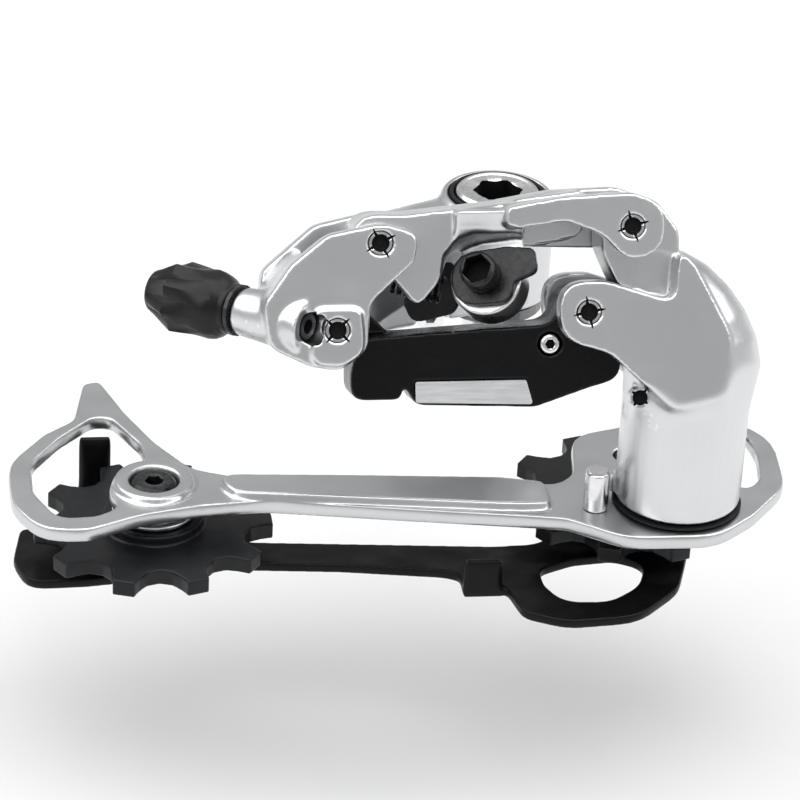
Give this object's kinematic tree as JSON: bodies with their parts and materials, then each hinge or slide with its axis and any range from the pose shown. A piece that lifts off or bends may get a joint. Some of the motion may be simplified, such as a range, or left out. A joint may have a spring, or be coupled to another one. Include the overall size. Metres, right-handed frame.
{
  "type": "rear bicycle derailleur",
  "caption": "Long-cage rear derailleur with a slanted parallelogram, sprung chain cage, toothed jockey wheels, cable clamp and barrel adjuster.",
  "frame": {"origin": "on the mounting-bolt axis, in the plane where the stop plate seats on the frame's hanger", "axes": "+Z outboard along the mounting bolt, +X towards the front of the bicycle, -Y towards the ground, with the cage at its rearward stop"},
  "size_m": [0.1397, 0.0656, 0.0776],
  "materials": {
    "silver_aluminium": "satin, bright anodised and bead-blasted casting",
    "polished_steel": "polished",
    "dark_steel": "dark, lightly oiled steel",
    "black_enamel": "gloss black",
    "black_oxide": "black oxide",
    "knob_plastic": "moulded black",
    "pulley_plastic": "moulded charcoal",
    "seal_rubber": "matt black",
    "label": "plain light grey, no text"
  },
  "bodies": {
    "hanger_side": {"mounting_bolt": "silver_aluminium", "stop_plate": "dark_steel"},
    "b_knuckle": {"b_knuckle": "silver_aluminium", "b_bushing": "dark_steel", "b_seal_ring": "seal_rubber", "b_spring": "dark_steel", "outer_link_upper_pin": "dark_steel", "inner_link_upper_pin": "dark_steel", "cable_end_seat": "dark_steel", "spring_plate": "black_enamel"},
    "b_tension_screw": {"b_tension_screw": "polished_steel"},
    "adjuster_slide": {"adjuster_washer": "dark_steel"},
    "adjuster_knob": {"adjuster_knob": "knob_plastic", "adjuster_stem": "silver_aluminium"},
    "outer_link": {"outer_link": "silver_aluminium", "cable_clamp_bolt": "black_oxide", "cable_clamp_washer": "black_oxide", "return_spring": "dark_steel"},
    "inner_link": {"inner_link": "black_enamel", "link_label": "label"},
    "high_limit_screw": {"high_limit_screw": "polished_steel"},
    "low_limit_screw": {"low_limit_screw": "polished_steel"},
    "p_knuckle": {"p_knuckle": "silver_aluminium", "outer_link_lower_pin": "dark_steel", "inner_link_lower_pin": "dark_steel", "spring_retaining_pin": "dark_steel", "p_seal_ring": "seal_rubber"},
    "cage": {"outer_cage_plate": "silver_aluminium", "inner_cage_plate": "black_enamel", "cage_axle": "polished_steel", "cage_stop_pin": "polished_steel", "p_bushing": "dark_steel", "p_spring": "dark_steel", "guide_pulley_bushing": "polished_steel", "guide_inner_dust_cap": "polished_steel", "guide_outer_dust_cap": "polished_steel", "guide_pulley_bolt": "dark_steel", "tension_pulley_bushing": "polished_steel", "tension_inner_dust_cap": "polished_steel", "tension_outer_dust_cap": "polished_steel", "tension_pulley_bolt": "dark_steel"},
    "guide_pulley": {"guide_pulley": "pulley_plastic"},
    "tension_pulley": {"tension_pulley": "pulley_plastic"}
  },
  "joints": [
    {"name": "b_knuckle_swing", "type": "hinge", "parent": "hanger_side", "child": "b_knuckle", "pos_m": [0, 0, 0.012], "axis": [0, 0, 1], "range_deg": [0, 35], "stiffness_Nm_per_rad": 0.4, "springref_deg": -34.38, "deforming": ["b_spring"]},
    {"name": "b_tension_screw_turn", "type": "hinge", "parent": "b_knuckle", "child": "b_tension_screw", "pos_m": [-0.0136, -0.008, 0.0052], "axis": [0, 1, 0], "range_deg": [0, 720]},
    {"name": "parallelogram_swing", "type": "hinge", "parent": "b_knuckle", "child": "outer_link", "pos_m": [-0.0265, -0.03009, 0.02791], "axis": [0, 0.9272, -0.3746], "range_deg": [0, 48], "stiffness_Nm_per_rad": 0.5, "springref_deg": -34.38, "deforming": ["return_spring"]},
    {"name": "inner_link_swing", "type": "hinge", "parent": "b_knuckle", "child": "inner_link", "pos_m": [-0.034, -0.03556, 0.01437], "axis": [0, 0.9272, -0.3746], "range_deg": [0, 48]},
    {"name": "p_knuckle_swing", "type": "hinge", "parent": "outer_link", "child": "p_knuckle", "pos_m": [0.0168, -0.02923, 0.03004], "axis": [0, 0.9272, -0.3746], "range_deg": [-48, 0]},
    {"name": "high_limit_screw_turn", "type": "hinge", "parent": "inner_link", "child": "high_limit_screw", "pos_m": [0.0033, -0.03965, 0.01225], "axis": [0, 0.9272, -0.3746], "range_deg": [0, 720]},
    {"name": "low_limit_screw_turn", "type": "hinge", "parent": "inner_link", "child": "low_limit_screw", "pos_m": [0.01, -0.03514, 0.00741], "axis": [0, 0.9272, -0.3746], "range_deg": [0, 720]},
    {"name": "adjuster_turn", "type": "hinge", "parent": "adjuster_slide", "child": "adjuster_knob", "pos_m": [-0.05529, -0.02916, 0.01577], "axis": [-0.7677, 0.6338, -0.0948], "range_deg": [0, 1100]},
    {"name": "adjuster_travel", "type": "slide", "parent": "b_knuckle", "child": "adjuster_slide", "axis": [-0.7677, 0.6338, -0.0948], "range_m": [0, 0.0024]},
    {"name": "cage_swing", "type": "hinge", "parent": "p_knuckle", "child": "cage", "pos_m": [0.029, -0.038, -0.012], "axis": [0, 0, 1], "range_deg": [0, 150], "stiffness_Nm_per_rad": 0.12, "springref_deg": -91.67, "deforming": ["p_spring"]},
    {"name": "guide_pulley_spin", "type": "hinge", "parent": "cage", "child": "guide_pulley", "pos_m": [0.0234, -0.0216, -0.0298], "axis": [0, 0, 1], "continuous": true},
    {"name": "tension_pulley_spin", "type": "hinge", "parent": "cage", "child": "tension_pulley", "pos_m": [-0.0632, -0.0285, -0.0298], "axis": [0, 0, 1], "continuous": true}
  ],
  "couplings": [
    {"joint": "inner_link_swing", "follows": "parallelogram_swing", "ratio": 1},
    {"joint": "p_knuckle_swing", "follows": "parallelogram_swing", "ratio": -1},
    {"joint": "adjuster_turn", "follows": "adjuster_travel", "rad_per_m": 7854}
  ]
}
